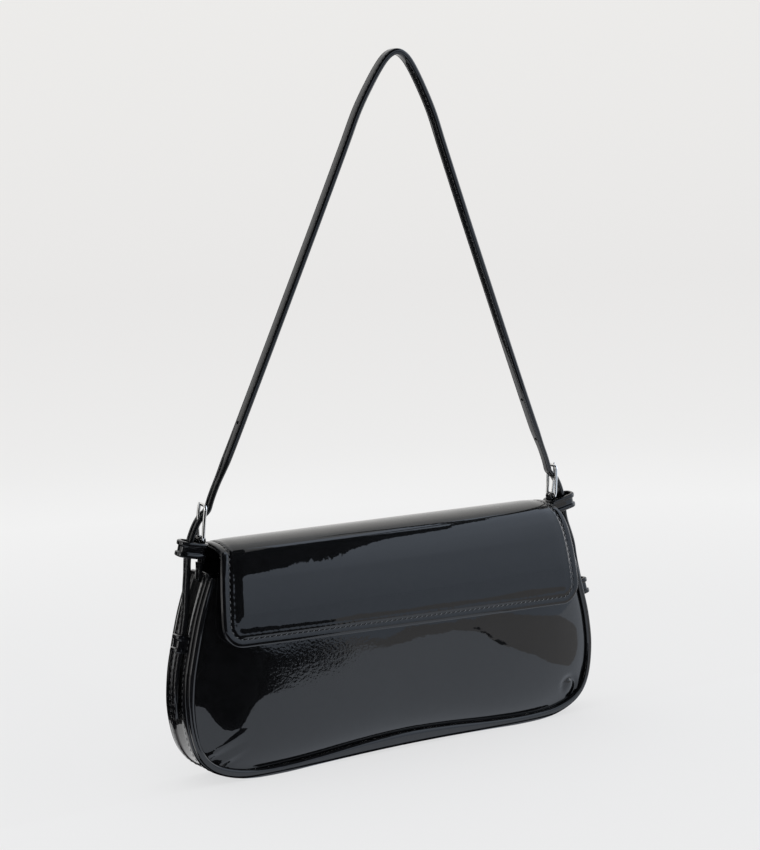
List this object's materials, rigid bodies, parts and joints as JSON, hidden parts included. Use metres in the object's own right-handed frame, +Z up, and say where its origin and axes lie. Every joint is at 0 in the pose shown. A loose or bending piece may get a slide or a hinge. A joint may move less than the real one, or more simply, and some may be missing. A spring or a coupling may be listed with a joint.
{
  "type": "baguette bag",
  "caption": "Slim flap shoulder bag in black patent leather with piped bean-shaped panels, a narrow gusset and a belt strap held by small pin buckles.",
  "frame": {"origin": "centre of the bounding box's footprint, on the resting surface", "axes": "+X to the bag's right seen from the front, +Y from front to back, +Z up; the bag is symmetric about the plane X = 0"},
  "size_m": [0.2766, 0.0546, 0.3929],
  "materials": {
    "patent": "high gloss patent, black",
    "edge": "glossy black with painted edges",
    "board": "bonded fibre board, matte",
    "lining": "matt woven textile, black",
    "buckle_metal": "polished nickel plate",
    "snap_metal": "nickel plated, satin"
  },
  "bodies": {
    "bag": {"front_panel": "patent", "back_panel": "patent", "gusset": "patent", "front_piping": "edge", "back_piping": "edge", "front_board": "board", "back_board": "board", "front_lining": "lining", "back_lining": "lining", "gusset_lining": "lining", "slip_pocket": "lining", "snap_socket": "snap_metal", "socket_washer": "snap_metal", "strap_tail_left": "patent", "strap_tail_right": "patent", "chape_tab_left": "patent", "chape_tab_right": "patent", "lower_keeper_left": "edge", "lower_keeper_right": "edge"},
    "flap": {"flap_leather": "patent", "flap_board": "board", "flap_lining": "edge", "snap_stud": "snap_metal", "stud_washer": "snap_metal"},
    "strap": {"shoulder_strap": "patent", "chape_loop_left": "patent", "chape_loop_right": "patent"},
    "buckle_left": {"buckle_frame_left": "buckle_metal"},
    "buckle_right": {"buckle_frame_right": "buckle_metal"},
    "prong_left": {"buckle_prong_left": "buckle_metal"},
    "prong_right": {"buckle_prong_right": "buckle_metal"},
    "keeper_left": {"upper_keeper_left": "edge"},
    "keeper_right": {"upper_keeper_right": "edge"}
  },
  "joints": [
    {"name": "flap_hinge", "type": "hinge", "parent": "bag", "child": "flap", "pos_m": [0, 0.02133, 0.118], "axis": [-1, 0, 0], "range_deg": [0, 60]},
    {"name": "strap_swing", "type": "hinge", "parent": "bag", "child": "strap", "pos_m": [0, 0.00703, 0.1195], "axis": [1, 0, 0], "range_deg": [-70, 82]},
    {"name": "buckle_left_tilt", "type": "hinge", "parent": "strap", "child": "buckle_left", "pos_m": [-0.1155, 0.00567, 0.13122], "axis": [0, -0.9934, -0.1149], "range_deg": [0, 6]},
    {"name": "buckle_right_tilt", "type": "hinge", "parent": "strap", "child": "buckle_right", "pos_m": [0.1155, 0.00567, 0.13122], "axis": [0, 0.9934, 0.1149], "range_deg": [0, 6]},
    {"name": "prong_left_lift", "type": "hinge", "parent": "buckle_left", "child": "prong_left", "pos_m": [-0.1155, 0.00567, 0.13122], "axis": [0, -0.9934, -0.1149], "range_deg": [0, 6]},
    {"name": "prong_right_lift", "type": "hinge", "parent": "buckle_right", "child": "prong_right", "pos_m": [0.1155, 0.00567, 0.13122], "axis": [0, 0.9934, 0.1149], "range_deg": [0, 6]},
    {"name": "keeper_left_slide", "type": "slide", "parent": "strap", "child": "keeper_left", "axis": [0, -0.1149, 0.9934], "range_m": [-0.0015, 0]},
    {"name": "keeper_right_slide", "type": "slide", "parent": "strap", "child": "keeper_right", "axis": [0, -0.1149, 0.9934], "range_m": [-0.0015, 0]}
  ]
}
